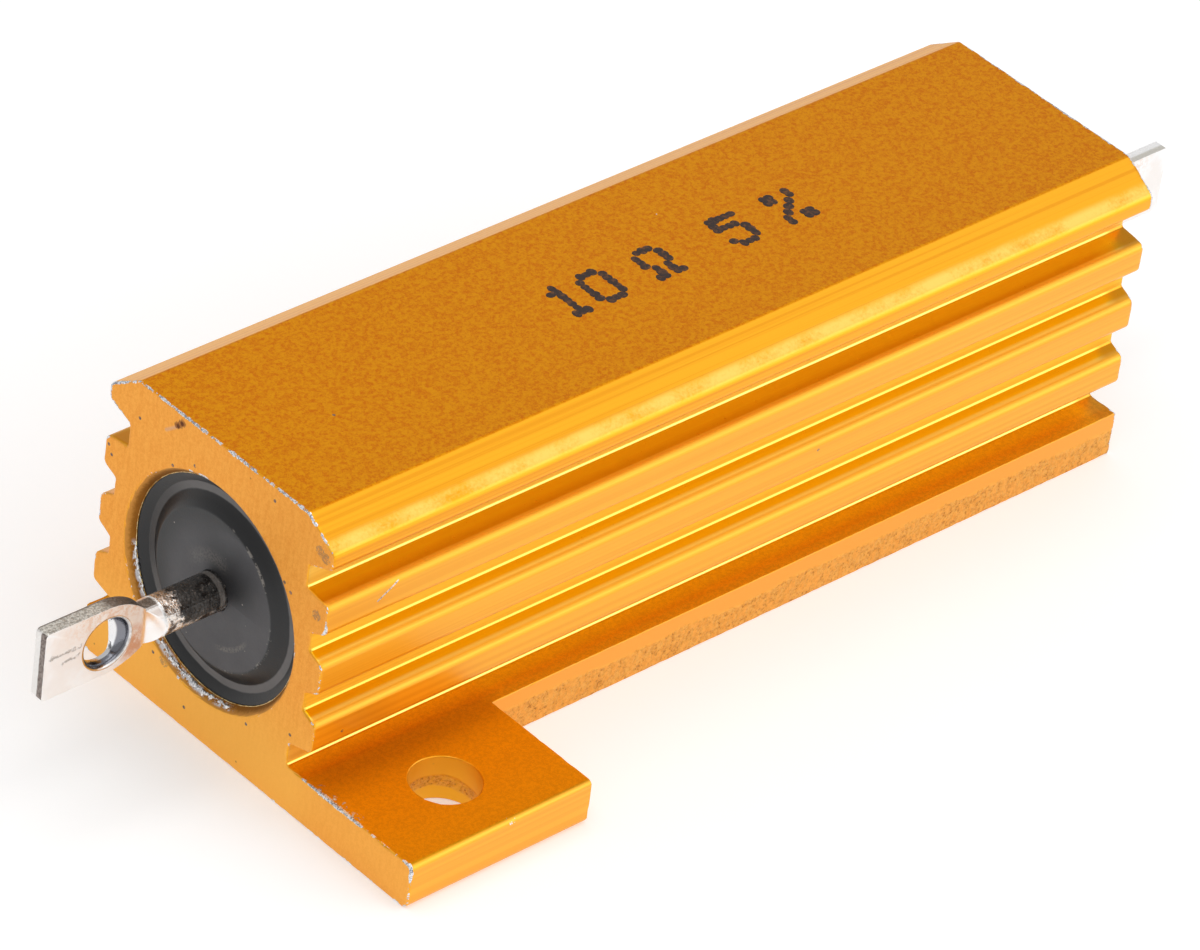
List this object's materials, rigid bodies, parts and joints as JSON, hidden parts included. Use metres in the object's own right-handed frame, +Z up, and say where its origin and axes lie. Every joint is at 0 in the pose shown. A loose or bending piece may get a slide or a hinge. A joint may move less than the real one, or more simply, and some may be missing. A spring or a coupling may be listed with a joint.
{
  "type": "power resistor",
  "caption": "Chassis-mounted wirewound power resistor in a finned gold-anodised aluminium housing, with diagonal screw feet and a flat solder lug at each end.",
  "frame": {"origin": "middle of the housing's underside, on the surface that it is screwed to", "axes": "+X along the housing towards the rear terminal, +Z up out of the base; the visible foot of the picture is at -X, -Y"},
  "size_m": [0.0688, 0.0288, 0.0159],
  "materials": {
    "anodised_aluminium": "gold anodised, satin",
    "moulding_compound": "matte black",
    "steatite": "unglazed",
    "resistance_alloy": "drawn wire",
    "cap_steel": "pressed",
    "tinned_steel": "tin plated, pressed"
  },
  "bodies": {
    "root": {"housing": "anodised_aluminium", "moulded_body": "moulding_compound", "ceramic_core": "steatite", "resistance_winding": "resistance_alloy", "end_cap_front": "cap_steel", "end_cap_rear": "cap_steel", "terminal_front": "tinned_steel", "terminal_rear": "tinned_steel"}
  },
  "joints": []
}
